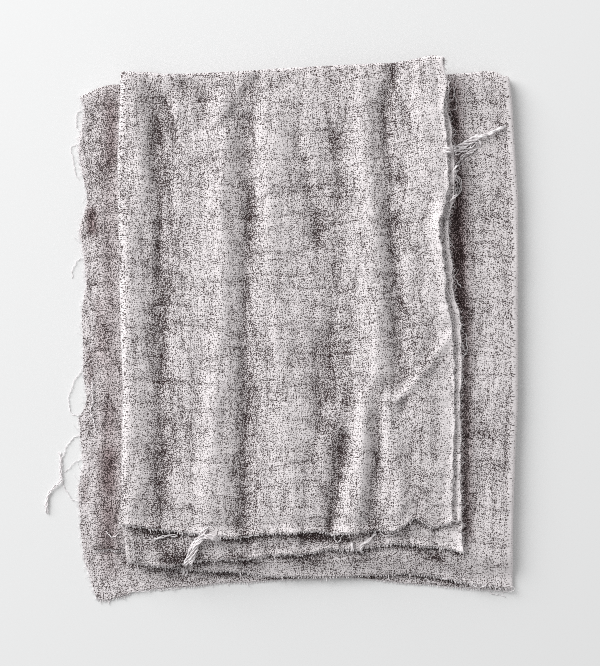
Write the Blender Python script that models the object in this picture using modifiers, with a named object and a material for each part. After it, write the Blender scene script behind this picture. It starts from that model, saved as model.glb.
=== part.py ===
"""A folded cloth napkin: one piece of loose crinkled weave, doubled and then folded in three.

The cloth starts as a flat grid, and each point of it is carried to its place in the packet.
Across the cloth, three panels run back and forth in a flat Z with a round turn at each side.
Along the cloth, every panel goes over the top fold, from its face layer to its back layer.
So the packet is six layers deep, and it is still one sheet with four cut edges.

Run it with blender --background --python part.py, or from Blender's text editor.
Tables and sizes are in millimetres: x runs to the right, y away along the packet, z up.
"""

import math
from collections import namedtuple

import bmesh
import bpy

MM = 0.001

# How finely the grid is cut: the top panel, with most creases, has most columns
PANEL_STEPS = (16, 18, 40)
PANELS = len(PANEL_STEPS)
SIDE_BEND_STEPS = 6
LAYER_STEPS = 11
TOP_BEND_STEPS = 4

# The cloth and how tightly it lies
THICKNESS = 1.1
LAYER_GAP = 0.6
PITCH = THICKNESS + LAYER_GAP
TOP_BEND = PITCH / 2
SIDE_BEND = PITCH
FOLD_REACH = SIDE_BEND + TOP_BEND + THICKNESS / 2
TOP_REACH = TOP_BEND + THICKNESS / 2
LOWEST_MIDDLE = THICKNESS / 2
HIGHEST_MIDDLE = LOWEST_MIDDLE + (2 * PANELS - 1) * PITCH

# The loose uppermost layer rides this high on the layers below, with its creases on top.
# The lift fades downwards, so that the lowest layer lies flat.
LOOSE_LIFT = 2.2
LIFT_POWER = 2.2

# The packet's side lines at each y: the bottom panel's cut side (back and face layers),
# the right fold, the left fold, and the top panel's cut side (back and face layers).
Side = namedtuple("Side", "y first_back first_face right_fold left_fold last_back last_face")
SIDES = (
    Side(-116, -88.0, -88.0, 92.9, -75.0, 70.6, 65.6),
    Side(-90, -93.8, -90.0, 92.7, -76.6, 70.4, 65.6),
    Side(-70, -95.2, -90.6, 93.2, -75.9, 69.8, 66.2),
    Side(-52, -94.0, -86.3, 93.8, -75.4, 69.6, 66.6),
    Side(-32, -92.0, -86.9, 94.8, -75.2, 69.6, 67.0),
    Side(-12, -93.0, -88.6, 95.0, -75.5, 70.0, 66.6),
    Side(8, -93.6, -90.5, 95.0, -76.1, 68.6, 64.0),
    Side(25, -92.0, -91.2, 95.0, -76.5, 66.5, 62.4),
    Side(42, -95.0, -94.2, 95.0, -77.0, 64.3, 60.2),
    Side(60, -91.5, -91.0, 94.7, -77.2, 66.3, 64.3),
    Side(80, -95.2, -94.6, 93.4, -77.0, 66.2, 63.3),
    Side(95, -92.5, -92.0, 92.0, -76.6, 63.6, 61.9),
    Side(112, -94.0, -93.5, 91.0, -76.1, 63.0, 62.4),
)

# The top fold's line over the width, for the bottom, middle and top panels
Top = namedtuple("Top", "x first middle last")
TOPS = (
    Top(-95, 101.4, 110.9, 110.6),
    Top(-77, 105.8, 110.9, 110.6),
    Top(-58, 106.0, 110.4, 109.2),
    Top(-35, 107.0, 108.6, 110.1),
    Top(-10, 108.0, 108.6, 111.4),
    Top(15, 108.2, 108.6, 112.8),
    Top(40, 108.5, 108.8, 114.2),
    Top(57, 109.0, 109.2, 117.0),
    Top(66, 109.8, 109.8, 115.6),
    Top(80, 111.1, 111.1, 115.6),
    Top(92, 107.1, 107.1, 115.6),
)

# The cut edge along the bottom over the width, for the back and face layers of each panel
Hem = namedtuple("Hem", "x first_back first_face middle_back middle_face last_back last_face")
HEMS = (
    Hem(-92, -117.3, -95.4, -100.0, -84.0, -99.8, -83.0),
    Hem(-76, -116.0, -95.3, -100.0, -84.0, -99.8, -83.0),
    Hem(-60, -112.0, -95.0, -101.6, -86.0, -101.2, -85.2),
    Hem(-44, -111.2, -94.5, -103.8, -88.0, -99.2, -87.3),
    Hem(-26, -109.6, -94.0, -104.5, -90.0, -98.4, -89.2),
    Hem(-8, -108.4, -94.0, -107.0, -91.0, -96.4, -87.2),
    Hem(10, -107.8, -94.0, -106.9, -92.0, -94.4, -86.2),
    Hem(28, -107.7, -94.0, -106.2, -92.5, -93.6, -86.4),
    Hem(46, -110.2, -94.0, -105.4, -93.0, -92.0, -85.4),
    Hem(62, -111.0, -94.0, -107.0, -93.0, -93.8, -84.6),
    Hem(80, -113.1, -94.0, -110.8, -93.5, -95.5, -82.1),
    Hem(93, -112.7, -94.0, -112.4, -94.0, -95.5, -82.1),
)

# The main creases: soft ridges, and troughs with a height below 0, that run from one point to
# another
Crease = namedtuple("Crease", "x_from y_from x_to y_to half_width height")
CREASES = (
    Crease(-71, 108, -70, -82, 5, 1.4),
    Crease(-60, 100, -60, 16, 4, -1.2),
    Crease(-58, 12, -58, -84, 4, -1.2),
    Crease(-33, 104, -39, -86, 6, 1.8),
    Crease(-25, 92, -26, -88, 4, -1.8),
    Crease(-12, 92, -8, -86, 6, 1.2),
    Crease(4, 66, 10, -40, 4, -1.0),
    Crease(24, 104, 33, -18, 6, 1.9),
    Crease(43, 113, 38, 48, 4, -1.6),
    Crease(38, 48, 41, -10, 4, -1.4),
    Crease(19, -46, 16, -86, 4, -1.6),
    Crease(31, -24, 25, -86, 5, 2.0),
    Crease(36, -34, 38, -84, 4, -1.2),
    Crease(55, 114, 55, 60, 6, 1.6),
    Crease(66, -3, 42, -31, 4, 1.3),
    Crease(61, 60, 64, -80, 4, 0.8),
)

Across = namedtuple("Across", "panel share turn")
Along = namedtuple("Along", "share turn")


def between(low, high, share):
    """The value a share of the way from low to high."""
    return low + (high - low) * share


def read_table(table, where, column):
    """The named column at a place given in the table's first column."""
    rows = list(table)
    place = min(max(where, rows[0][0]), rows[-1][0])
    for lower, upper in zip(rows, rows[1:]):
        if place <= upper[0]:
            share = (place - lower[0]) / (upper[0] - lower[0])
            return between(getattr(lower, column), getattr(upper, column), share)
    return getattr(rows[-1], column)


def stations_across():
    """Stops from the bottom panel's cut side, through both side folds, to the top panel's."""
    stops = []
    for panel in range(PANELS):
        steps = PANEL_STEPS[panel]
        stops += [Across(panel, step / steps, 0.0) for step in range(steps + 1)]
        if panel < PANELS - 1:
            angles = [math.pi * step / SIDE_BEND_STEPS for step in range(1, SIDE_BEND_STEPS)]
            stops += [Across(panel, 1.0, angle) for angle in angles]
    return stops


def stations_along():
    """Stops from the face layer's cut edge, over the top fold, to the back layer's."""
    down = [step / LAYER_STEPS for step in range(LAYER_STEPS + 1)]
    over = [math.pi * step / TOP_BEND_STEPS for step in range(1, TOP_BEND_STEPS)]
    face = [Along(share, 0.0) for share in reversed(down)]
    bend = [Along(0.0, angle) for angle in over]
    back = [Along(share, math.pi) for share in down]
    return face + bend + back


def panel_ends(panel, y, back_share):
    """The x at which a panel starts and ends, in the order in which the cloth runs."""
    right = read_table(SIDES, y, "right_fold") - FOLD_REACH
    left = read_table(SIDES, y, "left_fold") + FOLD_REACH
    first = between(
        read_table(SIDES, y, "first_face"), read_table(SIDES, y, "first_back"), back_share
    )
    last = between(
        read_table(SIDES, y, "last_face"), read_table(SIDES, y, "last_back"), back_share
    )
    return ((first, right), (right, left), (left, last))[panel]


def top_line(panel, x):
    """The y of a panel's top fold at x."""
    return read_table(TOPS, x, ("first", "middle", "last")[panel])


def hem_line(panel, x, back_share):
    """The y of a panel's cut bottom edge at x."""
    name = ("first", "middle", "last")[panel]
    return between(
        read_table(HEMS, x, name + "_face"), read_table(HEMS, x, name + "_back"), back_share
    )


def upper_lift(x, y):
    """How far the uppermost layer is lifted at a point of the packet, with its creases."""
    lift = LOOSE_LIFT
    for crease in CREASES:
        run_x = crease.x_to - crease.x_from
        run_y = crease.y_to - crease.y_from
        along = (x - crease.x_from) * run_x + (y - crease.y_from) * run_y
        share = min(max(along / (run_x ** 2 + run_y ** 2), 0.0), 1.0)
        away = math.hypot(x - crease.x_from - share * run_x, y - crease.y_from - share * run_y)
        lift += crease.height * math.exp(-((away / crease.half_width) ** 2))
    return max(lift, 0.0)


def folded_place(across, along):
    """Where a point of the flat cloth lies once the napkin is folded, in millimetres."""
    back_share = (1 - math.cos(along.turn)) / 2
    panel = across.panel
    next_panel = min(panel + 1, PANELS - 1)
    turned = across.turn / math.pi

    rough_x = between(*panel_ends(panel, 0.0, back_share), across.share)
    top = between(top_line(panel, rough_x), top_line(next_panel, rough_x), turned) - TOP_REACH
    hem = between(
        hem_line(panel, rough_x, back_share), hem_line(next_panel, rough_x, back_share), turned
    )
    level_y = between(top, hem, along.share)
    y = level_y + TOP_BEND * math.sin(along.turn)
    x = between(*panel_ends(panel, level_y, back_share), across.share)

    side = 1 if panel % 2 == 0 else -1
    middle_z = LOWEST_MIDDLE + PITCH / 2 + panel * 2 * PITCH
    path_x = x + side * SIDE_BEND * math.sin(across.turn)
    path_z = middle_z + SIDE_BEND * (1 - math.cos(across.turn))
    off_path = TOP_BEND * math.cos(along.turn)
    place_x = path_x - off_path * math.sin(across.turn)
    flat_z = path_z + off_path * side * math.cos(across.turn)

    rise = max((flat_z - LOWEST_MIDDLE) / (HIGHEST_MIDDLE - LOWEST_MIDDLE), 0.0)
    place_z = flat_z + upper_lift(place_x, y) * rise ** LIFT_POWER
    return place_x, y, place_z


def cloth_material():
    """Pale greyish cloth, dull and never metallic."""
    material = bpy.data.materials.new("cloth")
    material.use_nodes = True
    shader = material.node_tree.nodes["Principled BSDF"]
    shader.inputs["Base Color"].default_value = (0.62, 0.59, 0.585, 1.0)
    shader.inputs["Roughness"].default_value = 0.9
    shader.inputs["Metallic"].default_value = 0.0
    return material


def make_napkin(collection):
    """The folded sheet, as a thin open surface that Solidify makes into cloth."""
    across = stations_across()
    along = stations_along()
    grid = bmesh.new()
    bmesh.ops.create_grid(
        grid, x_segments=len(across) - 1, y_segments=len(along) - 1, size=1.0
    )
    for vert in grid.verts:
        column = round((vert.co.x + 1) / 2 * (len(across) - 1))
        row = round((vert.co.y + 1) / 2 * (len(along) - 1))
        vert.co = [value * MM for value in folded_place(across[column], along[row])]

    mesh = bpy.data.meshes.new("napkin")
    grid.to_mesh(mesh)
    grid.free()
    napkin = bpy.data.objects.new("napkin", mesh)
    napkin.data.materials.append(cloth_material())
    collection.objects.link(napkin)

    cloth = napkin.modifiers.new("cloth", "SOLIDIFY")
    cloth.thickness = THICKNESS * MM
    cloth.offset = 0.0
    cloth.use_even_offset = True
    return napkin


def centre_on_origin(napkin):
    """Moves the mesh so that its finished box is centred in x and y, and stands on z = 0."""
    bpy.context.view_layer.update()
    finished = napkin.evaluated_get(bpy.context.evaluated_depsgraph_get())
    places = [vert.co.copy() for vert in finished.data.vertices]
    middle_x, middle_y = (
        (min(place[axis] for place in places) + max(place[axis] for place in places)) / 2
        for axis in (0, 1)
    )
    lowest = min(place.z for place in places)
    for vert in napkin.data.vertices:
        vert.co.x -= middle_x
        vert.co.y -= middle_y
        vert.co.z -= lowest


def main():
    """Empties the scene and builds the napkin."""
    for old in list(bpy.data.objects):
        bpy.data.objects.remove(old)
    collection = bpy.data.collections.new("folded_cloth_napkin")
    bpy.context.scene.collection.children.link(collection)
    centre_on_origin(make_napkin(collection))


main()
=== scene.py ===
"""Looks of the folded cloth napkin, seen from straight above on a pale studio floor.

The napkin is one sheet of crinkled open weave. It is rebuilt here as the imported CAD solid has
it, doubled over the top fold and then folded in three, but finely enough for its creases. Its
cut edges get combs of yarn ends, its selvedges get fuzz, and the yarns that have worked loose
lie where they were seen. Tables are in millimetres, as in the CAD part's source.
"""

import math
from collections import namedtuple

import bpy
import numpy as np
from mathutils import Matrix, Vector, noise


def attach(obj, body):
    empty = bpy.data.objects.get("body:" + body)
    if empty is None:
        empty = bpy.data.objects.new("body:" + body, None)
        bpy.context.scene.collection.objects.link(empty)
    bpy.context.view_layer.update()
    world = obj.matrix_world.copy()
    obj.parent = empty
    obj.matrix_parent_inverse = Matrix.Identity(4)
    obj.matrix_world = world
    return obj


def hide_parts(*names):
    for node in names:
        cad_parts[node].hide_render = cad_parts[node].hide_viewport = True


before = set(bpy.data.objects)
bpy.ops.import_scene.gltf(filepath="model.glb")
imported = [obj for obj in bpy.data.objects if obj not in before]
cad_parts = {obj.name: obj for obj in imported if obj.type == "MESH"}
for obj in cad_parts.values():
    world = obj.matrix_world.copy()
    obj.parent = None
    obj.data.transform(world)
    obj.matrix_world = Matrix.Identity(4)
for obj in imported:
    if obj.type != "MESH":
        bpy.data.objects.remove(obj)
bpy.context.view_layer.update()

MM = 0.001

# ---------------------------------------------------------------- the cloth's own sizes
THICKNESS = 0.8
# From the middle of one layer to the middle of the next
PITCH = 1.7
# The middle radii of the top fold's turn and of a side fold's
TOP_BEND = PITCH / 2
SIDE_BEND = PITCH
LOWEST_MIDDLE = THICKNESS / 2 + 0.1
HIGHEST_MIDDLE = LOWEST_MIDDLE + 5 * PITCH
FOLD_REACH = SIDE_BEND + TOP_BEND + THICKNESS / 2
TOP_REACH = TOP_BEND + THICKNESS / 2
# The power that squares a side fold's section (1 is round), and what its inner layer adds
PRESSED = 0.55
INNER_ROUND = 0.6
# The packet's bottom end sags: below a y, over a reach, by a share of the height
SAG_FROM = -97.0
SAG_REACH = 11.0
SAG_SHARE = 0.65
# How far the cut edges and the selvedges stray from their lines
RAGGED = 0.5
# Rough widths of the bottom and top panels, and a distance that counts as far from any edge
FIRST_WIDTH = 185.0
LAST_WIDTH = 135.0
FAR = 99.0
# The unfolded sheet, in metres
YARN_PITCH = 0.82

# ---------------------------------------------------------------- outlines
# Side lines as (y, x): the selvedges of the bottom and top panels, and the two side folds
FIRST_BACK = (
    (-117, -87.4), (-110, -89.2), (-102, -92.1), (-90, -93.8), (-78, -94.6), (-67, -95.2),
    (-61, -93.1), (-45, -94.2), (-39, -95.2), (-31, -91.0), (-19, -93.1), (-7, -92.9),
    (8, -93.6), (20, -91.6), (37, -93.4), (42.6, -95.0), (51, -92.0), (58.5, -90.6),
    (62, -92.4), (73, -94.5), (80, -95.2), (88, -93.4), (95, -92.5), (101, -94.6),
)
FIRST_FACE = (
    (-95, -88.5), (-78, -90.7), (-70, -90.6), (-61, -88.8), (-53, -86.4), (-46, -85.4),
    (-32, -86.9), (-7, -89.0), (6, -88.5), (14, -91.4), (26, -91.2), (42, -94.2),
    (58, -90.0), (80, -94.4), (95, -91.8), (101, -94.0),
)
RIGHT_FOLD = (
    (-112, 92.9), (-86, 92.7), (-56, 93.7), (-35, 94.8), (-9, 95.0), (55, 95.0),
    (78, 93.5), (98, 92.4), (107, 91.2),
)
LEFT_FOLD = (
    (-100, -75.3), (-83, -77.1), (-74, -76.0), (-43, -75.3), (-21, -75.1), (-4, -75.9),
    (43, -77.0), (72, -77.4), (84, -76.8), (101, -76.1), (111, -76.1),
)
LAST_BACK = (
    (-95, 70.6), (-61, 69.6), (-31, 69.6), (-18, 70.1), (4, 69.7), (13, 67.0), (18, 66.0),
    (27, 66.1), (36, 64.6), (44, 64.3), (49, 64.9), (56, 66.6), (68, 66.7), (78, 66.3),
    (87, 65.3), (92, 63.8), (110, 62.4),
)
LAST_FACE = (
    (-82, 65.7), (-39, 67.0), (-12, 66.6), (4, 65.6), (9, 64.0), (14, 62.7), (21, 63.0),
    (31, 61.7), (36, 61.1), (41, 60.0), (46, 59.7), (49, 61.4), (61, 64.3), (84, 63.1),
    (93, 61.7), (105, 63.3), (116, 61.5),
)

# The top fold's line as (x, y), for the bottom, middle and top panels
FIRST_TOP = (
    (-94.6, 100.6), (-86, 104.5), (-81, 105.8), (-60, 106), (0, 107.5), (50, 108.5),
    (63, 109.7), (74, 110.4), (80, 111.1), (85, 111.1), (87, 109.7), (90, 108.2), (91.2, 107.1),
)
MIDDLE_TOP = (
    (-76, 110.9), (-58, 110.6), (-52, 108.5), (0, 108.6), (50, 109.0),
    (63, 109.7), (74, 110.4), (80, 111.1), (85, 111.1), (87, 109.7), (90, 108.2), (91.2, 107.1),
)
LAST_TOP = (
    (-76, 110.4), (-66, 109.6), (-57, 109.2), (-46, 109.4), (-23, 110.4), (-10, 111.4),
    (15, 112.8), (40, 114.0), (50, 115.5), (58, 117.1), (63, 115.7),
)

# The cut bottom edges as (x, y), for the back and face layers of each panel
FIRST_BACK_HEM = (
    (-87.4, -117.0), (-83, -117.3), (-78, -116.3), (-69, -113.1), (-59, -112.0), (-42, -110.9),
    (-25, -109.5), (-4, -108.1), (21, -107.4), (30, -107.7), (40, -109.7), (58, -110.5),
    (70, -111.8), (85, -113.5), (93, -112.7),
)
FIRST_FACE_HEM = ((-89, -95.3), (-76, -95.3), (0, -94.0), (93, -94.0))
MIDDLE_BACK_HEM = (
    (-76, -100.0), (-60, -102.0), (-44, -103.8), (-35, -104.5), (-19, -104.9), (-10, -107.5),
    (1, -106.2), (10, -107.0), (30, -106.1), (49, -105.3), (61, -106.9), (71, -109.3),
    (80, -110.6), (93, -112.2),
)
MIDDLE_FACE_HEM = ((-76, -84.0), (0, -91.0), (93, -94.0))
LAST_BACK_HEM = (
    (-75, -99.8), (-64, -100.9), (-56, -102.0), (-50, -100.6), (-44, -99.2), (-21, -98.3),
    (-8, -96.3), (2, -96.7), (12, -94.2), (23, -94.5), (30, -93.4), (43, -91.7), (52, -92.9),
    (60, -93.5), (65, -94.2), (71, -95.5),
)
LAST_FACE_HEM = (
    (-77, -83.0), (-64, -84.9), (-54, -86.3), (-42, -87.4), (-26, -89.2), (-18, -87.6),
    (0, -86.7), (8, -86.0), (15, -87.7), (24, -86.7), (34, -86.0), (42, -86.4), (46, -83.0),
    (50, -80.5), (54, -82.5), (58, -85.0), (66, -82.4),
)

# ---------------------------------------------------------------- creases
# Soft ridges (height above 0) and troughs (below 0) of the top panel
Crease = namedtuple("Crease", "x_from y_from x_to y_to half_width height")
TOP_CREASES = (
    Crease(-72, 108, -67, 60, 4.6, 1.3),
    Crease(-72, 50, -71, -82, 4.6, 1.2),
    Crease(-59, 96, -58, -88, 6.0, -1.4),
    Crease(-63, 102, -60, 64, 2.8, -0.9),
    Crease(-57, 98, -52, 79, 1.8, -1.0),
    Crease(-60, 46, -59, 22, 2.6, -0.7),
    Crease(-60, 8, -59, -20, 3.6, -0.8),
    Crease(-58, -38, -59, -72, 3.0, -0.8),
    Crease(-49, 104, -42, 100, 4.4, -1.5),
    Crease(-39.5, 97, -41, 86, 2.8, -1.0),
    Crease(-31, 96, -33, 44, 5.4, 1.7),
    Crease(-32.2, 36, -34, -26, 5.2, 1.7),
    Crease(-36, -34, -37, -86, 5.6, 1.7),
    Crease(-32, 86, -19, 106, 2.2, -1.1),
    Crease(-22, 90, -20.7, 48, 4.0, -1.9),
    Crease(-20.6, 41, -22, 20, 4.4, -1.8),
    Crease(-22.8, 14, -22.6, -19, 3.6, -1.4),
    Crease(-21.7, -25, -22, -48, 4.4, -1.7),
    Crease(-22.8, -56, -22.5, -88, 4.6, -2.1),
    Crease(-11, 92, -12, 22, 6.0, 1.3),
    Crease(-9, 12, -2, -86, 6.0, 1.1),
    Crease(5, 64, 8, 40, 4.0, -1.4),
    Crease(-2, 82, 3, 71, 2.2, -0.9),
    Crease(11, -4, 9, -42, 4.6, -1.2),
    Crease(16, 82, 17, -60, 7.0, -1.0),
    Crease(27, 104, 29.5, 70, 5.2, 1.2),
    Crease(31, 62, 35, -18, 5.0, 1.8),
    Crease(42, 112, 36.5, 92, 3.4, -1.7),
    Crease(37.5, 86, 39, 51, 3.4, -1.5),
    Crease(40, 45, 43, -7, 4.0, -1.8),
    Crease(43.2, -13, 45, -34, 4.0, -1.2),
    Crease(19.5, -46, 14, -86, 3.0, -2.2),
    Crease(29, -28, 24, -86, 4.2, 2.1),
    Crease(34, -38, 32, -86, 3.4, -1.7),
    Crease(38, -32, 45, -84, 3.8, 1.4),
    Crease(55, 114, 55, 62, 5.4, 1.4),
    Crease(65, -3, 56, -16, 1.6, 1.7),
    Crease(56, -16, 42, -31, 1.3, 1.6),
    Crease(60, 60, 63, 5, 2.4, 1.0),
)
TOP_REST_LIFT = 2.4

# Soft creases of the strips of the lower panels that the top panel leaves bare
STRIP_CREASES = (
    Crease(-84, 100, -84, 70, 3.0, 0.9),
    Crease(-86, 52, -84, 20, 2.5, 0.8),
    Crease(-83, 12, -83, -30, 2.6, 0.9),
    Crease(-86, -48, -85, -90, 3.0, 0.8),
    Crease(75, 105, 78, 70, 5.0, 0.5),
    Crease(84, 60, 86, -90, 5.0, 0.3),
)

# Where the middle panel sinks beside the top panel's selvedge, 0 to 1; painted shade and painted
# warm shade darken it there too
STRIP_TROUGHS = (
    Crease(66.5, 102, 67, 88, 1.8, 0.5),
    Crease(67, 90, 66.5, 84, 2.0, 0.7),
    Crease(68, 68, 70, 56, 1.6, 0.6),
    Crease(69, 52, 68.5, 30, 3.8, 0.55),
    Crease(69, 30, 71, 8, 3.4, 0.6),
    Crease(72, 4, 72, -86, 1.8, 0.5),
)

# Painted shade: dark pockets beneath the cut edges of the top panel's two layers
PAINTED_SHADE_POCKETS = (
    Crease(-64.5, -86.6, -61.5, -86.6, 1.6, 0.9),
    Crease(-57, -87.6, -51, -87.8, 1.7, 0.9),
    Crease(-66, -92, -50, -96, 5.0, 0.3),
    Crease(-30, -89.6, -20, -89.6, 2.2, 0.6),
    Crease(3, -89.4, 15, -89.4, 2.4, 0.7),
    Crease(17, -90.4, 22, -90.2, 1.8, 0.5),
    Crease(-56, -99, -42, -100, 3.4, 0.5),
    Crease(-29, -99, -25, -99, 2.6, 0.5),
    Crease(2, -99, 10, -99, 2.8, 0.45),
    Crease(29, -98.6, 35, -98.6, 2.8, 0.45),
    Crease(59, -98.6, 62, -98.6, 2.4, 0.4),
)

# Painted warm shade: where the bottom panel's bare strip is painted darker and more mauve
PAINTED_WARM_SHADE_PLACES = (
    Crease(-81.5, 100, -81.5, -104, 4.4, 0.3),
    Crease(-80.5, 96, -80.5, 74, 2.6, 0.45),
    Crease(-89.2, 50, -88.8, 43, 2.2, 1.3),
    Crease(-89.5, -10, -89.5, -22, 1.8, 0.6),
    Crease(-86, 12, -85, -14, 2.2, 0.3),
    Crease(-82, -36, -82, -44, 3.4, 0.3),
    Crease(-82, -54, -82, -68, 4.0, 0.7),
    Crease(-82, -78, -82, -94, 4.0, 0.5),
    Crease(-92, -66, -92, -74, 1.8, 0.4),
)

# ---------------------------------------------------------------- loose yarns
# Routes seen from above. They lie on what is under them, and their strands twist round each other.
Yarn = namedtuple("Yarn", "strands radius spread arch route")
YARNS = (
    Yarn(7, 0.30, 1.2, 1.2, ((62, 76.0), (66, 76.6), (70.5, 78.6), (75, 81.4), (78, 83))),
    Yarn(5, 0.34, 0.45, 1.2, (
        (73, 80), (76, 81.6), (80, 83), (84, 84.6), (87, 86.2), (89.4, 87.4),
    )),
    Yarn(3, 0.26, 0.9, 1.0, ((67, 75.0), (70, 76.4), (74, 78.6), (77, 80.4), (78, 78.5))),
    Yarn(2, 0.26, 0.45, 0.6, (
        (78, 81.5), (76.5, 77.4), (72.2, 75.3), (69.7, 72.7), (67.5, 69.2), (66.7, 66.7),
        (69.2, 64.9), (70.1, 61.5), (69.2, 58.5), (66.2, 55.9), (64.5, 54),
    )),
    Yarn(1, 0.22, 0.0, 0.3, ((72, 73.5), (69.2, 69.2), (67.5, 65.8), (68.6, 62), (67.2, 58.4))),
    Yarn(1, 0.20, 0.0, 0.3, (
        (64.9, 108), (64.1, 101.9), (65.4, 98.5), (67.5, 100.6), (66.7, 103.6), (64.5, 101.9),
        (64.0, 97),
    )),
    Yarn(1, 0.20, 0.0, 0.3, (
        (67.5, 107.1), (67.9, 103.6), (66.7, 100.6), (68.4, 98), (67.9, 95), (64.6, 93.3),
    )),
    Yarn(1, 0.26, 0.0, 0.3, ((66.2, 22.2), (67.9, 21.1), (69.7, 18.9), (71, 17.6), (72.9, 18))),
    Yarn(1, 0.24, 0.0, 0.3, ((69.2, 1.4), (71.8, -2.2), (72.7, -6.9), (72.2, -10.3), (70, -13.6))),
    Yarn(1, 0.20, 0.0, 0.3, ((64.5, -81.7), (67.5, -82.1), (68.8, -80.8), (69.2, -77))),
    Yarn(1, 0.17, 0.0, 0.3, (
        (-92.5, 95.5), (-95.5, 93.3), (-96.3, 89.9), (-95.4, 86.4), (-92.5, 86),
    )),
    Yarn(1, 0.14, 0.0, 0.3, (
        (-94, 80.8), (-98, 78.7), (-98.5, 76.1), (-97.2, 73.5), (-97, 69.2), (-95, 64.5),
    )),
    Yarn(1, 0.14, 0.0, 0.3, ((-92.5, 31.4), (-96.3, 28.8), (-97.6, 25.4), (-98, 21.9))),
    Yarn(1, 0.16, 0.0, 0.3, (
        (-89, -12.5), (-92.5, -15.9), (-95.6, -20.6), (-97.8, -24.5), (-99, -28.4), (-99.4, -32.7),
        (-97.8, -36.6), (-94, -37.8),
    )),
    Yarn(1, 0.17, 0.0, 0.3, (
        (-94, -45.6), (-98, -47.7), (-99.8, -50.3), (-101.5, -53.8), (-102.3, -58.9),
        (-102.3, -64.9),
    )),
    Yarn(3, 0.20, 0.45, 0.6, (
        (-103.2, -53.3), (-102.8, -59.8), (-102.8, -65.8), (-104.9, -68), (-107, -70),
        (-108.6, -73), (-109.2, -77),
    )),
    Yarn(4, 0.20, 0.45, 0.6, ((-107.4, -70.6), (-108.6, -73.6), (-108.9, -77), (-108.4, -80))),
    Yarn(1, 0.16, 0.0, 0.3, (
        (-102.3, -65.8), (-101, -68.8), (-99.8, -71.4), (-98, -73.5), (-94, -74.8),
    )),
    Yarn(1, 0.12, 0.0, 0.3, ((-93, -55.9), (-96.3, -57.6), (-98.9, -59.8), (-101.6, -62.5))),
    Yarn(1, 0.22, 0.0, 0.3, (
        (-89.4, -21.9), (-88.8, -27.1), (-89, -31.8), (-89.6, -36.1), (-88.2, -40.9), (-86.4, -46),
    )),
    Yarn(7, 0.26, 1.0, 1.0, (
        (-33.5, -89.9), (-37.4, -88.6), (-40.4, -88.8), (-43, -91.2), (-44.3, -95), (-45.6, -99.3),
        (-48.2, -102.8), (-49, -107),
    )),
    Yarn(4, 0.26, 0.9, 0.8, (
        (-38.7, -84.2), (-42.1, -89), (-45.2, -92.9), (-46.9, -97.6), (-50.2, -105.8),
    )),
    Yarn(2, 0.25, 0.45, 0.6, ((-61.5, -90.6), (-58.5, -88.9), (-55, -88.4), (-51.5, -88.8))),
    Yarn(1, 0.24, 0.0, 0.3, ((15.1, -86.4), (16.2, -90.7), (18, -91), (19, -88))),
    Yarn(3, 0.28, 0.45, 0.6, (
        (33.4, -87.4), (30.1, -90.7), (27.5, -92.5), (26.7, -94.8), (28.4, -96), (29.9, -94.2),
    )),
    Yarn(3, 0.30, 0.45, 0.6, ((22.6, -91.4), (24.2, -97), (26, -101))),
    Yarn(1, 0.24, 0.0, 0.3, ((34.4, -85.9), (37, -88.4), (40.4, -88.4), (42.6, -87.1), (45, -88))),
    Yarn(1, 0.20, 0.0, 0.3, (
        (49, -104.8), (53.8, -107.1), (57.6, -109.6), (61.1, -108.8), (65.2, -107.4),
    )),
    Yarn(1, 0.20, 0.0, 0.3, ((74.4, -109.8), (78.3, -111.6), (82, -110))),
    Yarn(1, 0.17, 0.0, 0.3, ((82.2, -110.8), (83.4, -114), (86.9, -115), (90, -116.2))),
    Yarn(1, 0.15, 0.0, 0.3, (
        (84, -112.4), (89, -113.9), (92.4, -113.4), (92.9, -111.4), (89, -110.2),
    )),
    Yarn(1, 0.15, 0.0, 0.3, (
        (-74, -113.4), (-67.9, -113.6), (-63.6, -112.9), (-57.2, -112.7), (-48.2, -112),
    )),
    Yarn(1, 0.22, 0.0, 0.3, ((-83, -87.6), (-80, -89.6), (-77, -88.4))),
)

# Painted warm shade: where the middle panel is painted more mauve, close beside the top panel's
# selvedge
PAINTED_WARM_SHADE_GAPS = (
    Crease(67, 104, 68, 62, 3.4, 0.75),
    Crease(68, 60, 69, 4, 4.4, 0.85),
    Crease(71, 0, 72, -88, 3.4, 0.6),
)

GRID_STEP = 0.5
LINE_HALF = 130.0


# ---------------------------------------------------------------- reading the tables
def rounded_line(points, reach=2.5):
    """A function that reads a given line, with its corners rounded over a reach."""
    places, values = zip(*points)
    grid = np.arange(-LINE_HALF, LINE_HALF + GRID_STEP, GRID_STEP)
    window = np.hanning(2 * int(reach / GRID_STEP) + 3)
    half = len(window) // 2
    padded = np.pad(np.interp(grid, places, values), half, mode="edge")
    smooth = np.convolve(padded, window / window.sum(), mode="valid")
    return lambda place: np.interp(place, grid, smooth)


SIDES = {
    "first": (rounded_line(FIRST_FACE), rounded_line(FIRST_BACK)),
    "last": (rounded_line(LAST_FACE), rounded_line(LAST_BACK)),
}
RIGHT_LINE = rounded_line(RIGHT_FOLD)
LEFT_LINE = rounded_line(LEFT_FOLD)
TOPS = [rounded_line(line, 1.5) for line in (FIRST_TOP, MIDDLE_TOP, LAST_TOP)]
HEMS = [
    (rounded_line(face, 1.0), rounded_line(back, 1.0))
    for face, back in (
        (FIRST_FACE_HEM, FIRST_BACK_HEM),
        (MIDDLE_FACE_HEM, MIDDLE_BACK_HEM),
        (LAST_FACE_HEM, LAST_BACK_HEM),
    )
]


def between(low, high, share):
    """The value a share of the way from low to high."""
    return low + (high - low) * share


def panel_ends(panel, y, back_share):
    """The x at which a panel starts and ends, in the order in which the cloth runs."""
    right = RIGHT_LINE(y) - FOLD_REACH
    left = LEFT_LINE(y) + FOLD_REACH
    first = between(SIDES["first"][0](y), SIDES["first"][1](y), back_share)
    last = between(SIDES["last"][0](y), SIDES["last"][1](y), back_share)
    return ((first, right), (right, left), (left, last))[panel]


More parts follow.
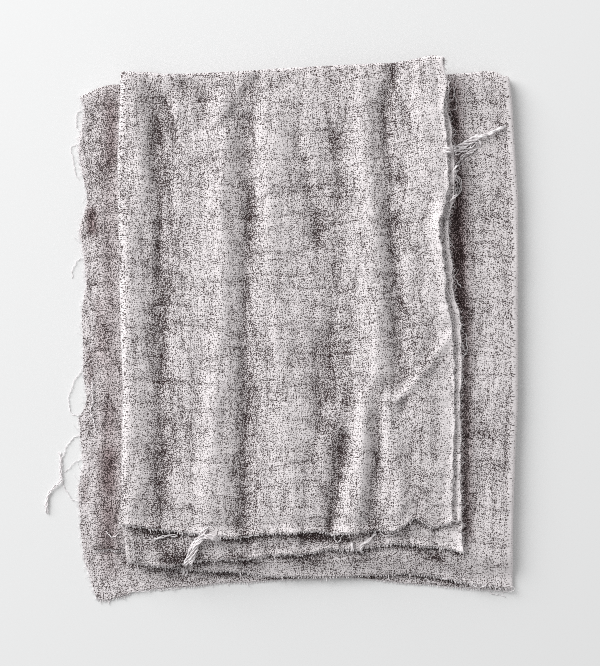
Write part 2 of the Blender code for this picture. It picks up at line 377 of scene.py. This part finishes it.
def near(distance, reach):
    """A soft weight: 1 at no distance, and fading out over about a reach."""
    return np.exp(-((distance / reach) ** 2))


def crease_field(creases, x, y):
    """The summed lift of a table of creases at arrays of places."""
    lift = np.zeros_like(x)
    for crease in creases:
        run_x = crease.x_to - crease.x_from
        run_y = crease.y_to - crease.y_from
        along = (x - crease.x_from) * run_x + (y - crease.y_from) * run_y
        share = np.clip(along / (run_x ** 2 + run_y ** 2), 0.0, 1.0)
        away = np.hypot(x - crease.x_from - share * run_x, y - crease.y_from - share * run_y)
        lift += crease.height * near(away, crease.half_width)
    return lift


def smooth_noise(x, y, wide, long, seed):
    """Even noise in about -1 to 1 with blobs of the given width and length."""
    values = [
        noise.noise(Vector((a / wide, b / long, seed))) for a, b in zip(x.ravel(), y.ravel())
    ]
    return np.array(values).reshape(x.shape) * 1.6


# ---------------------------------------------------------------- the folded sheet
# The grid's columns as (panel, share from, share to, steps, turning), fine where the cloth shows
ACROSS_SPANS = (
    (0, 0.0, 0.006, 3, False),
    (0, 0.006, 0.13, 15, False),
    (0, 0.13, 1.0, 14, False),
    (0, 1.0, 1.0, 8, True),
    (1, 0.0, 0.2, 24, False),
    (1, 0.2, 1.0, 13, False),
    (1, 1.0, 1.0, 10, True),
    (2, 0.0, 0.992, 106, False),
    (2, 0.992, 1.0, 3, False),
)
# Its rows: a fine rim at each cut edge, the face layer, the top fold and the back layer, which
# is finer over the share that the shorter face layer leaves bare
RIM_SHARE = 0.006
RIM_STEPS = 3
FACE_STEPS = 128
TOP_BEND_STEPS = 6
BARE_SHARE = 0.2
BARE_STEPS = 34
BACK_STEPS = 64
# The row and the column along which the flat cloth is measured
MEASURED_ROW = FACE_STEPS // 2
MEASURED_COLUMN = -40
# Noise places of the face and back layers lie this far apart
LAYERS_APART = 9


def stations_across():
    """Arrays of panel, share and turn for each column of the cloth's grid."""
    stops = []
    for panel, start, end, steps, turning in ACROSS_SPANS:
        for step in range(steps):
            share = step / steps
            turn = math.pi * share if turning else 0.0
            stops.append((panel, between(start, end, share), turn))
    stops.append((2, 1.0, 0.0))
    return [np.array(column) for column in zip(*stops)]


def stations_along():
    """Arrays of share and turn for each row of the cloth's grid."""
    rim = [RIM_SHARE * step / RIM_STEPS for step in range(RIM_STEPS)]
    face = rim + [between(RIM_SHARE, 1, step / FACE_STEPS) for step in range(FACE_STEPS)]
    back = list(rim)
    back += [between(RIM_SHARE, BARE_SHARE, step / BARE_STEPS) for step in range(BARE_STEPS)]
    back += [between(BARE_SHARE, 1, step / BACK_STEPS) for step in range(BACK_STEPS + 1)]
    rows = [(1 - share, 0.0) for share in face]
    rows += [(0.0, math.pi * step / TOP_BEND_STEPS) for step in range(TOP_BEND_STEPS)]
    rows += [(1 - share, math.pi) for share in reversed(back)]
    return [np.array(column) for column in zip(*rows)]


def panel_value(readers, panels, *places):
    """Reads each column's own panel from a list of readers, one for each panel."""
    values = np.zeros(np.broadcast(panels, *places).shape)
    for panel, reader in enumerate(readers):
        mask = np.broadcast_to(panels == panel, values.shape)
        values[mask] = reader(*[np.broadcast_to(p, values.shape)[mask] for p in places])
    return values


def folded_points():
    """The grid's folded places and flat places in millimetres, and its columns' share and panel."""
    panel, share, turn = stations_across()
    down, over = (column[:, None] for column in stations_along())
    back = (1 - np.cos(over)) / 2
    turned = turn / math.pi
    following = np.minimum(panel + 1, 2)

    def start_of(number):
        return lambda y, b: panel_ends(number, y, b)[0]

    def end_of(number):
        return lambda y, b: panel_ends(number, y, b)[1]

    def place_x(y):
        starts = panel_value([start_of(n) for n in range(3)], panel, y, back)
        ends = panel_value([end_of(n) for n in range(3)], panel, y, back)
        return between(starts, ends, share)

    def hem_reader(number):
        face, cut = HEMS[number]
        return lambda x, b: between(face(x), cut(x), b)

    readers = [hem_reader(n) for n in range(3)]
    x = place_x(np.zeros_like(down))
    for _ in range(2):
        top = between(
            panel_value(TOPS, panel, x), panel_value(TOPS, following, x), turned
        ) - TOP_REACH
        hem = between(
            panel_value(readers, panel, x, back), panel_value(readers, following, x, back), turned
        )
        level = between(top, hem, down)
        x = place_x(level)
    y = level + TOP_BEND * np.sin(over)
    layer = 0 * x + LAYERS_APART * back
    y -= RAGGED * smooth_noise(x, layer, 2.6, 3.0, 41.0) * near(1 - down, 0.02)
    at_first = (panel == 0) * near(share, 0.01)
    at_last = (panel == 2) * near(1 - share, 0.015)
    x = x + RAGGED * (at_last - at_first) * smooth_noise(panel + layer, level, 3.0, 2.8, 47.0)

    side = np.where(panel % 2 == 0, 1.0, -1.0)
    middle = LOWEST_MIDDLE + PITCH / 2 + panel * 2 * PITCH
    radius = SIDE_BEND - side * TOP_BEND * np.cos(over)
    pressed = PRESSED + INNER_ROUND * (SIDE_BEND + TOP_BEND - radius) / (2 * TOP_BEND)
    out = np.abs(np.sin(turn)) ** pressed
    rise = np.sign(np.cos(turn)) * np.abs(np.cos(turn)) ** pressed
    place = x + side * radius * out
    z = middle + SIDE_BEND - radius * rise
    path_x = x + side * SIDE_BEND * out
    path_z = middle + SIDE_BEND * (1 - rise)

    step_u = np.hypot(np.diff(path_x, axis=1), np.diff(path_z + 0 * path_x, axis=1))
    u = np.concatenate([[0.0], np.cumsum(step_u[MEASURED_ROW])])
    step_v = np.hypot(np.diff(y, axis=0), np.diff(z, axis=0))
    v = np.concatenate([[0.0], np.cumsum(step_v[:, MEASURED_COLUMN])])
    flat_u, flat_v = np.meshgrid(u, v)
    return place, y, z, flat_u, flat_v, share, panel


def valley_lines(a, b, spacing, long, width, seed):
    """Thin winding valleys, 0 to 1, that run along b and lie about a spacing apart in a."""
    field = smooth_noise(a, b, spacing, long, seed)
    return near(field, width)


def lifted(x, y, z, flat_u, flat_v, share, panel):
    """The heights once the layers are creased, each point's weave openness with its painted shade
    and light, and its painted warm shade.
    """
    # The layers' rises are 0, 0.2, 0.4, 0.6, 0.8 and 1
    rise = np.clip((z - LOWEST_MIDDLE) / (HIGHEST_MIDDLE - LOWEST_MIDDLE), 0.0, 1.0)
    lowest = rise < 0.3
    middle_back = np.abs(rise - 0.6) < 0.1
    is_back = flat_v > flat_v.max() / 2
    # Weights of the top panel's shape, of its back layer's selvedge and of the layers off the floor
    upper = np.clip((rise - 0.6) / 0.4, 0.0, 1.0) ** 0.7 + 0.12 * np.minimum(rise / 0.6, 1.0)
    back_edge = (panel == 2) * np.clip((0.9 - rise) / 0.08, 0.0, 1.0)
    lower = np.clip(rise / 0.2, 0.0, 1.0)
    creases = crease_field(TOP_CREASES, x, y)
    drift = smooth_noise(x, y, 5.0, 22.0, 3.1)
    top = np.maximum(TOP_REST_LIFT + creases + 0.3 * drift, 0.0)
    strips = np.maximum(crease_field(STRIP_CREASES, x, y), 0.0)
    sunk = crease_field(STRIP_TROUGHS, x, y) * middle_back

    # The selvedges curl up, and the top one lies lower in its lower half and higher above
    from_end = np.where(panel == 0, share * FIRST_WIDTH, FAR)
    from_end = np.where(panel == 2, (1 - share) * LAST_WIDTH, from_end)
    curl = near(from_end, 2.2) * (0.75 + 0.45 * smooth_noise(0 * x, y, 10.0, 9.0, 17.0))
    near_end = near(from_end, 8)
    top *= 1 - 0.6 * near_end * np.clip((20 - y) / 30, 0.0, 1.0)
    top += 1.2 * near_end * np.clip((y - 10) / 30, 0.0, 1.0)

    # The cut edges wave and lie low, and the packet's bottom end sags
    from_hem = np.minimum(flat_v, flat_v.max() - flat_v)
    waves = 0.7 + 1.1 * smooth_noise(x, 0 * y, 8.0, 10.0, 21.0)
    hem = near(from_hem, 2.2) * np.maximum(waves, 0.0)
    top *= 1 - (0.45 + 0.45 * is_back) * near(from_hem, 6)
    sag = np.clip((SAG_FROM - y) / SAG_REACH, 0.0, 1.0)
    sag = SAG_SHARE * sag * sag * (3 - 2 * sag)

    # The crinkle runs in ribs along the yarns and in rungs across them
    ribs = valley_lines(flat_u, flat_v, 6.0, 34.0, 0.28, 2.2)
    rungs = valley_lines(flat_v, flat_u, 8.0, 44.0, 0.24, 8.8)
    puckers = smooth_noise(flat_u, flat_v, 3.4, 8.0, 11.7)
    crinkle = 0.12 * puckers + 0.14 * smooth_noise(flat_u, flat_v, 1.8, 3.2, 5.3)
    crinkle -= 0.34 * ribs + 0.24 * rungs
    calm = np.clip((z - LOWEST_MIDDLE) / 1.0, 0.05, 1.0)
    height = LOWEST_MIDDLE + (z - LOWEST_MIDDLE) * (1 - sag)
    height += upper * top + lower * strips + crinkle * calm
    height -= 0.6 * sunk
    height += curl * (0.6 * upper + 0.4 * lower + 1.3 * back_edge)
    height += hem * (0.9 * upper + 0.4 * lower * (panel > 0))

    # Painted shade: troughs and valleys are darker, their weave also more open.
    # Painted light: ridges are paler. Selvedges are closer and paler
    on_top = np.clip((rise - 0.9) / 0.08, 0.0, 1.0)
    painted_crease_light_and_shade = 0.19 * np.maximum(-creases, 0) - 0.06 * np.maximum(creases, 0)
    openness_and_painted_shade = 0.16 + 0.07 * lowest + painted_crease_light_and_shade * on_top
    openness_and_painted_shade += 0.16 * ribs + 0.12 * rungs - 0.04 * puckers - 0.05 * drift - 0.15 * curl
    openness_and_painted_shade -= 0.2 * near(from_end, 4.5) * (panel == 2)
    # Painted light: the band along the right fold is painted paler
    painted_light_at_right_fold = np.clip((x - RIGHT_LINE(y) + 3.0) / 1.6, 0.0, 1.0) * (panel < 2)
    # Painted shade where the middle panel sinks beside the top panel's selvedge
    openness_and_painted_shade += 0.5 * sunk - painted_light_at_right_fold

    # Painted shade: uneven dark lines and pockets below each cut edge, on the layer under it
    edge_above = panel_value((HEMS[1][1], HEMS[2][1], HEMS[2][0]), panel, x)
    below = near(y - edge_above + 0.9, 1.3) * is_back * (x > -76) * (x < 70)
    openness_and_painted_shade += below * (0.55 + 0.5 * smooth_noise(x, 0 * y, 6.0, 10.0, 31.0))
    openness_and_painted_shade += crease_field(PAINTED_SHADE_POCKETS, x, y) * is_back * (panel > 0)

    # Painted warm shade, mauve, which also adds to the painted shade
    painted_warm_shade = crease_field(PAINTED_WARM_SHADE_PLACES, x, y) * lowest
    painted_warm_shade += crease_field(PAINTED_WARM_SHADE_GAPS, x, y) * middle_back + 0.4 * sunk
    return height, np.clip(openness_and_painted_shade + 0.3 * painted_warm_shade, -1.0, 1.0), np.clip(painted_warm_shade, 0.0, 1.0)


def new_piece(name, verts, faces, material):
    """A smooth-shaded mesh object that rides on the root body."""
    mesh = bpy.data.meshes.new(name)
    mesh.from_pydata(verts, [], faces)
    mesh.polygons.foreach_set("use_smooth", [True] * len(mesh.polygons))
    mesh.materials.append(material)
    piece = bpy.data.objects.new(name, mesh)
    bpy.context.scene.collection.objects.link(piece)
    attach(piece, "root")
    return piece


def make_cloth(material):
    """The napkin's sheet, with the flat cloth's millimetres as its UV map."""
    x, y, z, flat_u, flat_v, share, panel = folded_points()
    z, openness_and_painted_shade, painted_warm_shade = lifted(x, y, z, flat_u, flat_v, share, panel)
    rows, columns = x.shape
    verts = np.stack([x, y, z], axis=-1).reshape(-1, 3) * MM
    corner = (np.arange(rows - 1)[:, None] * columns + np.arange(columns - 1)).ravel()
    faces = np.stack([corner, corner + 1, corner + columns + 1, corner + columns], axis=1)
    cloth = new_piece("cloth", verts.tolist(), faces[:, ::-1].tolist(), material)
    layer = cloth.data.uv_layers.new(name="weave")
    flat = np.stack([flat_u, flat_v], axis=-1).reshape(-1, 2)
    corners = np.empty(len(cloth.data.loops), dtype=np.int32)
    cloth.data.loops.foreach_get("vertex_index", corners)
    layer.uv.foreach_set("vector", flat[corners].astype(np.float32).ravel())
    for name, values in (("openness_and_painted_shade", openness_and_painted_shade), ("painted_warm_shade", painted_warm_shade)):
        shade = cloth.data.attributes.new(name, "FLOAT", "POINT")
        shade.data.foreach_set("value", values.astype(np.float32).ravel())
    body = cloth.modifiers.new("body", "SOLIDIFY")
    body.thickness = THICKNESS * MM
    body.offset = 0.0
    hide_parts("napkin")
    return cloth, np.stack([x, y, z], axis=-1)


# ---------------------------------------------------------------- yarns
def tube(points, radii, sides):
    """Vertices and faces of one thin closed tube through points, with a radius at each."""
    points = np.asarray(points, dtype=float)
    ahead = np.gradient(points, axis=0)
    ahead /= np.maximum(np.linalg.norm(ahead, axis=1, keepdims=True), 1e-9)
    up = np.array((0.01, 0.01, 1.01))
    across = np.cross(ahead, up)
    across /= np.maximum(np.linalg.norm(across, axis=1, keepdims=True), 1e-9)
    out = np.cross(across, ahead)
    angles = 2 * math.pi * np.arange(sides) / sides
    ring = across[:, None] * np.cos(angles)[:, None] + out[:, None] * np.sin(angles)[:, None]
    verts = (points[:, None] + ring * np.asarray(radii)[:, None, None]).reshape(-1, 3)
    faces = []
    for row in range(len(points) - 1):
        for side in range(sides):
            follow = (side + 1) % sides
            faces.append((
                row * sides + side, row * sides + follow,
                (row + 1) * sides + follow, (row + 1) * sides + side,
            ))
    last = (len(points) - 1) * sides
    faces.append(tuple(reversed(range(sides))))
    faces.append(tuple(last + side for side in range(sides)))
    return verts, faces


def joined_tubes(name, strands, material, sides):
    """One mesh of many strands, each a list of points and a list of radii."""
    verts, faces = [], []
    for points, radii in strands:
        tube_verts, tube_faces = tube(points, radii, sides)
        offset = len(verts)
        verts.extend((tube_verts * MM).tolist())
        faces.extend([tuple(index + offset for index in face) for face in tube_faces])
    return new_piece(name, verts, faces, material)


# Short strands along the edges: how far apart, how long, how spread, how thick, how many stray
FRINGE = {"pitch": 0.55, "length": (0.4, 1.2), "spread": 0.2, "radius": 0.19, "stray": 0.04}
FUZZ = {"pitch": 0.7, "length": (0.5, 1.6), "spread": 0.8, "radius": 0.09, "stray": 0.1}
STRAY_LENGTH = 2.2
# A strand's points as shares of its length, from inside the cloth to its tip, and how it thins
STRAND_SHARES = (-0.35, 0.0, 0.35, 0.7, 1.0)
STRAND_TAPER = np.array((1.0, 1.0, 0.9, 0.75, 0.45))


def edge_strands(edge, inner, random, pitch, length, spread, radius, stray):
    """Short strands that stand out from an edge of the cloth, away from a line inside it."""
    runs = np.linalg.norm(np.diff(edge, axis=0), axis=1)
    place = np.concatenate([[0.0], np.cumsum(runs)])
    outward = edge - inner
    outward[:, 2] *= 0.3
    outward /= np.linalg.norm(outward, axis=1, keepdims=True)
    strands = []
    for spot in np.arange(0.0, place[-1], pitch):
        spot += random.uniform(-0.3, 0.3) * pitch
        root = np.array([np.interp(spot, place, edge[:, k]) for k in range(3)])
        ahead = np.array([np.interp(spot, place, outward[:, k]) for k in range(3)])
        aside = np.cross(ahead, (0, 0, 1))
        reach = random.uniform(*length)
        if random.random() < stray:
            reach *= STRAY_LENGTH
        lean = random.normal(0, spread)
        bend = random.normal(0, spread)
        lift = random.uniform(-0.1, 0.25)
        points = []
        for share in STRAND_SHARES:
            sway = lean * share + bend * share * share
            point = root + reach * (ahead * share + aside * sway)
            point[2] = max(root[2] + reach * lift * share * share, radius + 0.05)
            points.append(point)
        strands.append((points, radius * STRAND_TAPER))
    return strands


# Loose yarns' points lie this far apart
ROUTE_STEP = 0.6


def smooth_route(route):
    """Points about a step apart on a curve that passes through a route's own points."""
    points = np.array(route, dtype=float)
    ends = np.vstack([2 * points[0] - points[1], points, 2 * points[-1] - points[-2]])
    curve = []
    for before, start, end, after in zip(ends, ends[1:], ends[2:], ends[3:]):
        steps = max(int(np.linalg.norm(end - start) / ROUTE_STEP), 1)
        for step in range(steps):
            t = step / steps
            curve.append(
                0.5 * (2 * start + (end - before) * t
                       + (2 * before - 5 * start + 4 * end - after) * t ** 2
                       + (3 * start - before - 3 * end + after) * t ** 3)
            )
    curve.append(points[-1])
    return np.array(curve)


def height_under(surface, x, y, reach=1.2):
    """The top of the cloth near a place, or the floor's own height beside it."""
    close = np.hypot(surface[..., 0] - x, surface[..., 1] - y) < reach
    return surface[..., 2][close].max() + THICKNESS / 2 if close.any() else 0.0


def loose_strands(surface, random):
    """The loose yarns, crimped as the weave left them, laid on the cloth and the floor."""
    strands = []
    for yarn in YARNS:
        curve = smooth_route(yarn.route)
        base = np.array([height_under(surface, x, y) for x, y in curve])
        base = np.convolve(np.pad(base, 1, mode="edge"), (0.25, 0.5, 0.25), mode="valid")
        ahead = np.gradient(curve, axis=0)
        ahead /= np.linalg.norm(ahead, axis=1, keepdims=True)
        aside = np.stack([-ahead[:, 1], ahead[:, 0]], axis=1)
        place = np.arange(len(curve)) * ROUTE_STEP
        for strand in range(yarn.strands):
            phase = 2 * math.pi * strand / yarn.strands + random.uniform(0, 1)
            twist = phase + place * 2 * math.pi / (5 + 6 * yarn.spread)
            ring = yarn.spread * random.uniform(0.6, 1.1)
            crimp = 0.22 * np.sin(place * 2 * math.pi / random.uniform(1.8, 2.6) + phase)
            crimp += 0.25 * np.sin(place * 2 * math.pi / random.uniform(5, 8) + 2 * phase)
            sway = (ring * np.cos(twist) + crimp * (1 if yarn.strands == 1 else 0.5))[:, None]
            flat = curve + aside * sway
            lift = base + 1.35 * yarn.radius + ring * (1 + np.sin(twist)) * 0.5
            lift += yarn.arch * np.sin(math.pi * np.linspace(0, 1, len(curve)))
            radii = yarn.radius * (1 + 0.25 * np.sin(place * 3.1 + phase))
            radii[-2:] *= (0.8, 0.4)
            strands.append((np.column_stack([flat, lift]), radii))
    return strands


# ---------------------------------------------------------------- materials
# Linear colours. The yarns, the gaps between them and the loose yarns vary between two each.
# The gaps' colours are painted shade seen through the weave; the shaded and the mauve yarn are
# painted shade
YARN_COLOURS = ((0.775, 0.73, 0.738, 1), (0.84, 0.8, 0.806, 1))
GAP_SHADE_COLOURS = ((0.082, 0.064, 0.064, 1), (0.03, 0.017, 0.017, 1))
LOOSE_COLOURS = ((0.76, 0.72, 0.73, 1), (0.95, 0.92, 0.93, 1))
SHADED_YARN = (0.34, 0.29, 0.29, 1)
WARM_SHADE_YARN = (0.38, 0.27, 0.275, 1)
FLOOR_COLOUR = (0.79, 0.795, 0.795, 1)


class Nodes:
    """A short way to add and join shader nodes."""

    def __init__(self, name):
        self.material = bpy.data.materials.new(name)
        self.material.use_nodes = True
        self.tree = self.material.node_tree
        self.shader = self.tree.nodes["Principled BSDF"]

    def add(self, kind, settings=None, **inputs):
        """A node of a kind, with its settings and its inputs' values or links."""
        node = self.tree.nodes.new("ShaderNode" + kind)
        for name, value in (settings or {}).items():
            setattr(node, name, value)
        for name, value in inputs.items():
            self.join(value, node.inputs[int(name[1:]) if name[1:].isdigit() else name])
        return node

    def join(self, value, socket):
        """Links an output to a socket, or sets the socket's own value."""
        if isinstance(value, bpy.types.NodeSocket):
            self.tree.links.new(value, socket)
        else:
            socket.default_value = value

    def math(self, operation, first, second=0.0, third=0.0):
        """The output of a Math node."""
        node = self.add("Math", {"operation": operation}, i0=first, i1=second, i2=third)
        return node.outputs[0]

    def vector(self, operation, output=0, **inputs):
        """An output of a Vector Math node: 0 is its vector, 1 is its number."""
        return self.add("VectorMath", {"operation": operation}, **inputs).outputs[output]

    def attribute(self, name):
        """The cloth's own value of a name at each point."""
        return self.add("Attribute", {"attribute_name": name}).outputs["Fac"]

    def ramp(self, value, low, high, to_low=0.0, to_high=1.0):
        """A value mapped from low..high to to_low..to_high, and kept within them."""
        node = self.add(
            "MapRange", {"interpolation_type": "SMOOTHSTEP"},
            i0=value, i1=low, i2=high, i3=to_low, i4=to_high,
        )
        return node.outputs[0]

    def noise(self, vector, scale, detail, seed):
        """A noise texture's value in 0 to 1."""
        node = self.add("TexNoise", {"noise_dimensions": "4D"}, Vector=vector)
        node.inputs["W"].default_value = seed
        node.inputs["Scale"].default_value = scale
        node.inputs["Detail"].default_value = detail
        return node.outputs[0]

    def lines(self, vector, wide, long, width, seed):
        """Thin winding lines, 0 to 1, where a stretched noise crosses its middle."""
        stretched = self.vector("MULTIPLY", i0=vector, i1=(1 / wide, 1 / long, 0.0))
        off_middle = self.math(
            "ABSOLUTE", self.math("SUBTRACT", self.noise(stretched, 1.0, 1.0, seed), 0.5)
        )
        return self.ramp(off_middle, 0.0, width, 1.0, 0.0)

    def mix(self, share, first, second):
        """The mix of two colours."""
        node = self.add("Mix", {"data_type": "RGBA"})
        self.join(share, node.inputs[0])
        self.join(first, node.inputs[6])
        self.join(second, node.inputs[7])
        return node.outputs[2]


def cloth_material():
    """Crinkled open weave: pale slubby yarns with a pinhole between each four of them, painted dark
    as the shade seen through it.
    """
    nodes = Nodes("cloth_weave")
    flat = nodes.add("UVMap", {"uv_map": "weave"}).outputs[0]
    openness_and_painted_shade = nodes.attribute("openness_and_painted_shade")
    painted_warm_shade = nodes.attribute("painted_warm_shade")

    # The yarns' lattice, pulled about a little, as (cell, place inside the cell)
    slow_field = nodes.add("TexNoise", None, Vector=flat, Scale=0.3, Detail=1.0).outputs[1]
    quick_field = nodes.add("TexNoise", None, Vector=flat, Scale=0.9, Detail=1.0).outputs[1]
    wobble = nodes.vector("MULTIPLY_ADD", i0=slow_field, i1=(2.2, 2.2, 0.0), i2=flat)
    wobble = nodes.vector("MULTIPLY_ADD", i0=quick_field, i1=(1.1, 1.1, 0.0), i2=wobble)
    lattice = nodes.vector("SCALE", i0=wobble, Scale=1 / YARN_PITCH)
    cell = nodes.vector("FLOOR", i0=lattice)
    inside = nodes.vector("FRACTION", i0=lattice)
    chance = nodes.add("TexWhiteNoise", {"noise_dimensions": "2D"}, Vector=cell).outputs[0]
    from_hole = nodes.vector("DISTANCE", output=1, i0=inside, i1=(0.5, 0.5, 0.0))

    # How open the weave is, and how much shade is painted on it: more so in hollows, thin places
    # and the lines along and across
    slub = nodes.noise(flat, 0.35, 2.0, 1.0)
    lines_along = nodes.lines(flat, 4.0, 30.0, 0.034, 2.0)
    lines_across = nodes.lines(flat, 36.0, 5.5, 0.026, 7.0)
    lines = nodes.math("MAXIMUM", lines_along, lines_across)
    short_along = nodes.lines(flat, 1.9, 9.0, 0.05, 4.0)
    short_across = nodes.lines(flat, 10.0, 2.4, 0.035, 8.0)
    short_lines = nodes.math("MAXIMUM", short_along, short_across)
    openness_and_shade = nodes.math("MULTIPLY_ADD", nodes.math("SUBTRACT", slub, 0.5), 0.12, openness_and_painted_shade)
    openness_and_shade = nodes.math("MULTIPLY_ADD", lines, 0.24, openness_and_shade)
    openness_and_shade = nodes.math("MULTIPLY_ADD", short_lines, 0.13, openness_and_shade)

    # A pinhole's reach grows with the openness and the painted shade, and painted specks of shadow
    # lie between the fibres
    by_chance = nodes.math("MULTIPLY", chance, 0.288)
    reach = nodes.math("MULTIPLY_ADD", openness_and_shade, 0.16, by_chance)
    pinhole = nodes.ramp(nodes.math("SUBTRACT", from_hole, reach), -0.1, 0.1, 1.0, 0.0)
    fibre = nodes.noise(flat, 2.3, 0.0, 6.0)
    speck = nodes.ramp(nodes.math("MULTIPLY_ADD", openness_and_shade, -0.3, fibre), 0.22, 0.31, 1.0, 0.0)
    hole = nodes.math("MAXIMUM", pinhole, speck)

    pale = nodes.mix(nodes.noise(flat, 0.05, 3.0, 9.0), *YARN_COLOURS)
    # Painted shade: the more open and shaded the weave, the darker its gaps and yarns; the warm
    # shade is painted mauve
    deep = nodes.ramp(openness_and_shade, 0.1, 1.0)
    dark = nodes.mix(deep, *GAP_SHADE_COLOURS)
    yarns = nodes.mix(nodes.math("MULTIPLY", deep, 0.4), pale, SHADED_YARN)
    yarns = nodes.mix(nodes.math("MULTIPLY", painted_warm_shade, 0.75), yarns, WARM_SHADE_YARN)
    colour = nodes.mix(hole, yarns, dark)
    nodes.join(colour, nodes.shader.inputs["Base Color"])
    nodes.shader.inputs["Roughness"].default_value = 0.92
    nodes.shader.inputs["Specular IOR Level"].default_value = 0.15
    nodes.shader.inputs["Sheen Weight"].default_value = 0.12
    nodes.shader.inputs["Sheen Roughness"].default_value = 0.5

    height = nodes.math("MULTIPLY_ADD", hole, -1.0, nodes.noise(flat, 1.9, 1.0, 3.0))
    bump = nodes.add("Bump", None, Height=height, Strength=0.65, Distance=0.3 * MM)
    nodes.join(bump.outputs[0], nodes.shader.inputs["Normal"])
    return nodes.material


def yarn_material():
    """Loose twisted yarn: pale, dull and slightly uneven along its length."""
    nodes = Nodes("loose_yarn")
    place = nodes.add("TexCoord").outputs["Object"]
    tone = nodes.noise(place, 900.0, 2.0, 2.0)
    colour = nodes.mix(nodes.ramp(tone, 0.35, 0.65), *LOOSE_COLOURS)
    nodes.join(colour, nodes.shader.inputs["Base Color"])
    nodes.shader.inputs["Roughness"].default_value = 0.9
    nodes.shader.inputs["Specular IOR Level"].default_value = 0.15
    return nodes.material


def floor_material():
    """Plain pale studio paper."""
    nodes = Nodes("floor_paper")
    nodes.shader.inputs["Base Color"].default_value = FLOOR_COLOUR
    nodes.shader.inputs["Roughness"].default_value = 0.9
    nodes.shader.inputs["Specular IOR Level"].default_value = 0.1
    return nodes.material


# ---------------------------------------------------------------- the studio
# How much of the napkin's plane the picture's height shows
VIEW_HEIGHT = 286.4 * MM
LENS = 100.0
SENSOR = 36.0
EYE_TARGET = Vector((0.86 * MM, -1.72 * MM, 6 * MM))
FLOOR_SIZE = 6.0
KEY_PLACE = (-1.3, 1.22, 1.1)
KEY_SIZE = 1.8
KEY_POWER = 55.0
ALL_ROUND_LIGHT = 0.48
# Narrower than usual, so the fine weave stays crisp
PIXEL_FILTER = 1.0


def make_camera():
    """A camera straight above, with the packet framed as it was seen."""
    data = bpy.data.cameras.new("camera")
    data.lens = LENS
    data.sensor_width = SENSOR
    camera = bpy.data.objects.new("camera", data)
    camera.location = EYE_TARGET + Vector((0, 0, VIEW_HEIGHT * LENS / SENSOR))
    bpy.context.scene.collection.objects.link(camera)
    bpy.context.scene.camera = camera


def make_key_light():
    """A broad light at the top left that looks at the middle of the napkin."""
    data = bpy.data.lights.new("key", "AREA")
    data.shape = "DISK"
    data.size = KEY_SIZE
    data.energy = KEY_POWER
    light = bpy.data.objects.new("key", data)
    light.location = KEY_PLACE
    light.rotation_euler = (-Vector(KEY_PLACE)).to_track_quat("-Z", "Y").to_euler()
    bpy.context.scene.collection.objects.link(light)


def make_studio():
    """The floor, the key light and the even light all round."""
    bpy.ops.mesh.primitive_plane_add(size=FLOOR_SIZE, location=(0, 0, 0))
    floor = bpy.context.object
    floor.name = "floor"
    floor.data.materials.append(floor_material())
    make_key_light()
    world = bpy.data.worlds.new("studio")
    world.use_nodes = True
    world.node_tree.nodes["Background"].inputs[0].default_value = (1.0, 1.0, 1.0, 1)
    world.node_tree.nodes["Background"].inputs[1].default_value = ALL_ROUND_LIGHT
    scene = bpy.context.scene
    scene.world = world
    scene.view_settings.view_transform = "Standard"
    scene.view_settings.look = "None"
    scene.cycles.use_denoising = False
    scene.cycles.filter_width = PIXEL_FILTER


# ---------------------------------------------------------------- everything together
make_camera()
make_studio()
yarn = yarn_material()
cloth, surface = make_cloth(cloth_material())
random = np.random.default_rng(7)

# Each edge's strands point away from the fourth row or column of the cloth's grid
fringe_strands = edge_strands(surface[0], surface[3], random, **FRINGE)
fringe_strands += edge_strands(surface[-1], surface[-4], random, **FRINGE)
fringe = joined_tubes("fringe", fringe_strands, yarn, 4)

fuzz_strands = edge_strands(surface[:, 0], surface[:, 3], random, **FUZZ)
fuzz_strands += edge_strands(surface[:, -1], surface[:, -4], random, **FUZZ)
fuzz = joined_tubes("selvedge_fuzz", fuzz_strands, yarn, 3)

loose = joined_tubes("loose_yarns", loose_strands(surface, random), yarn, 5)
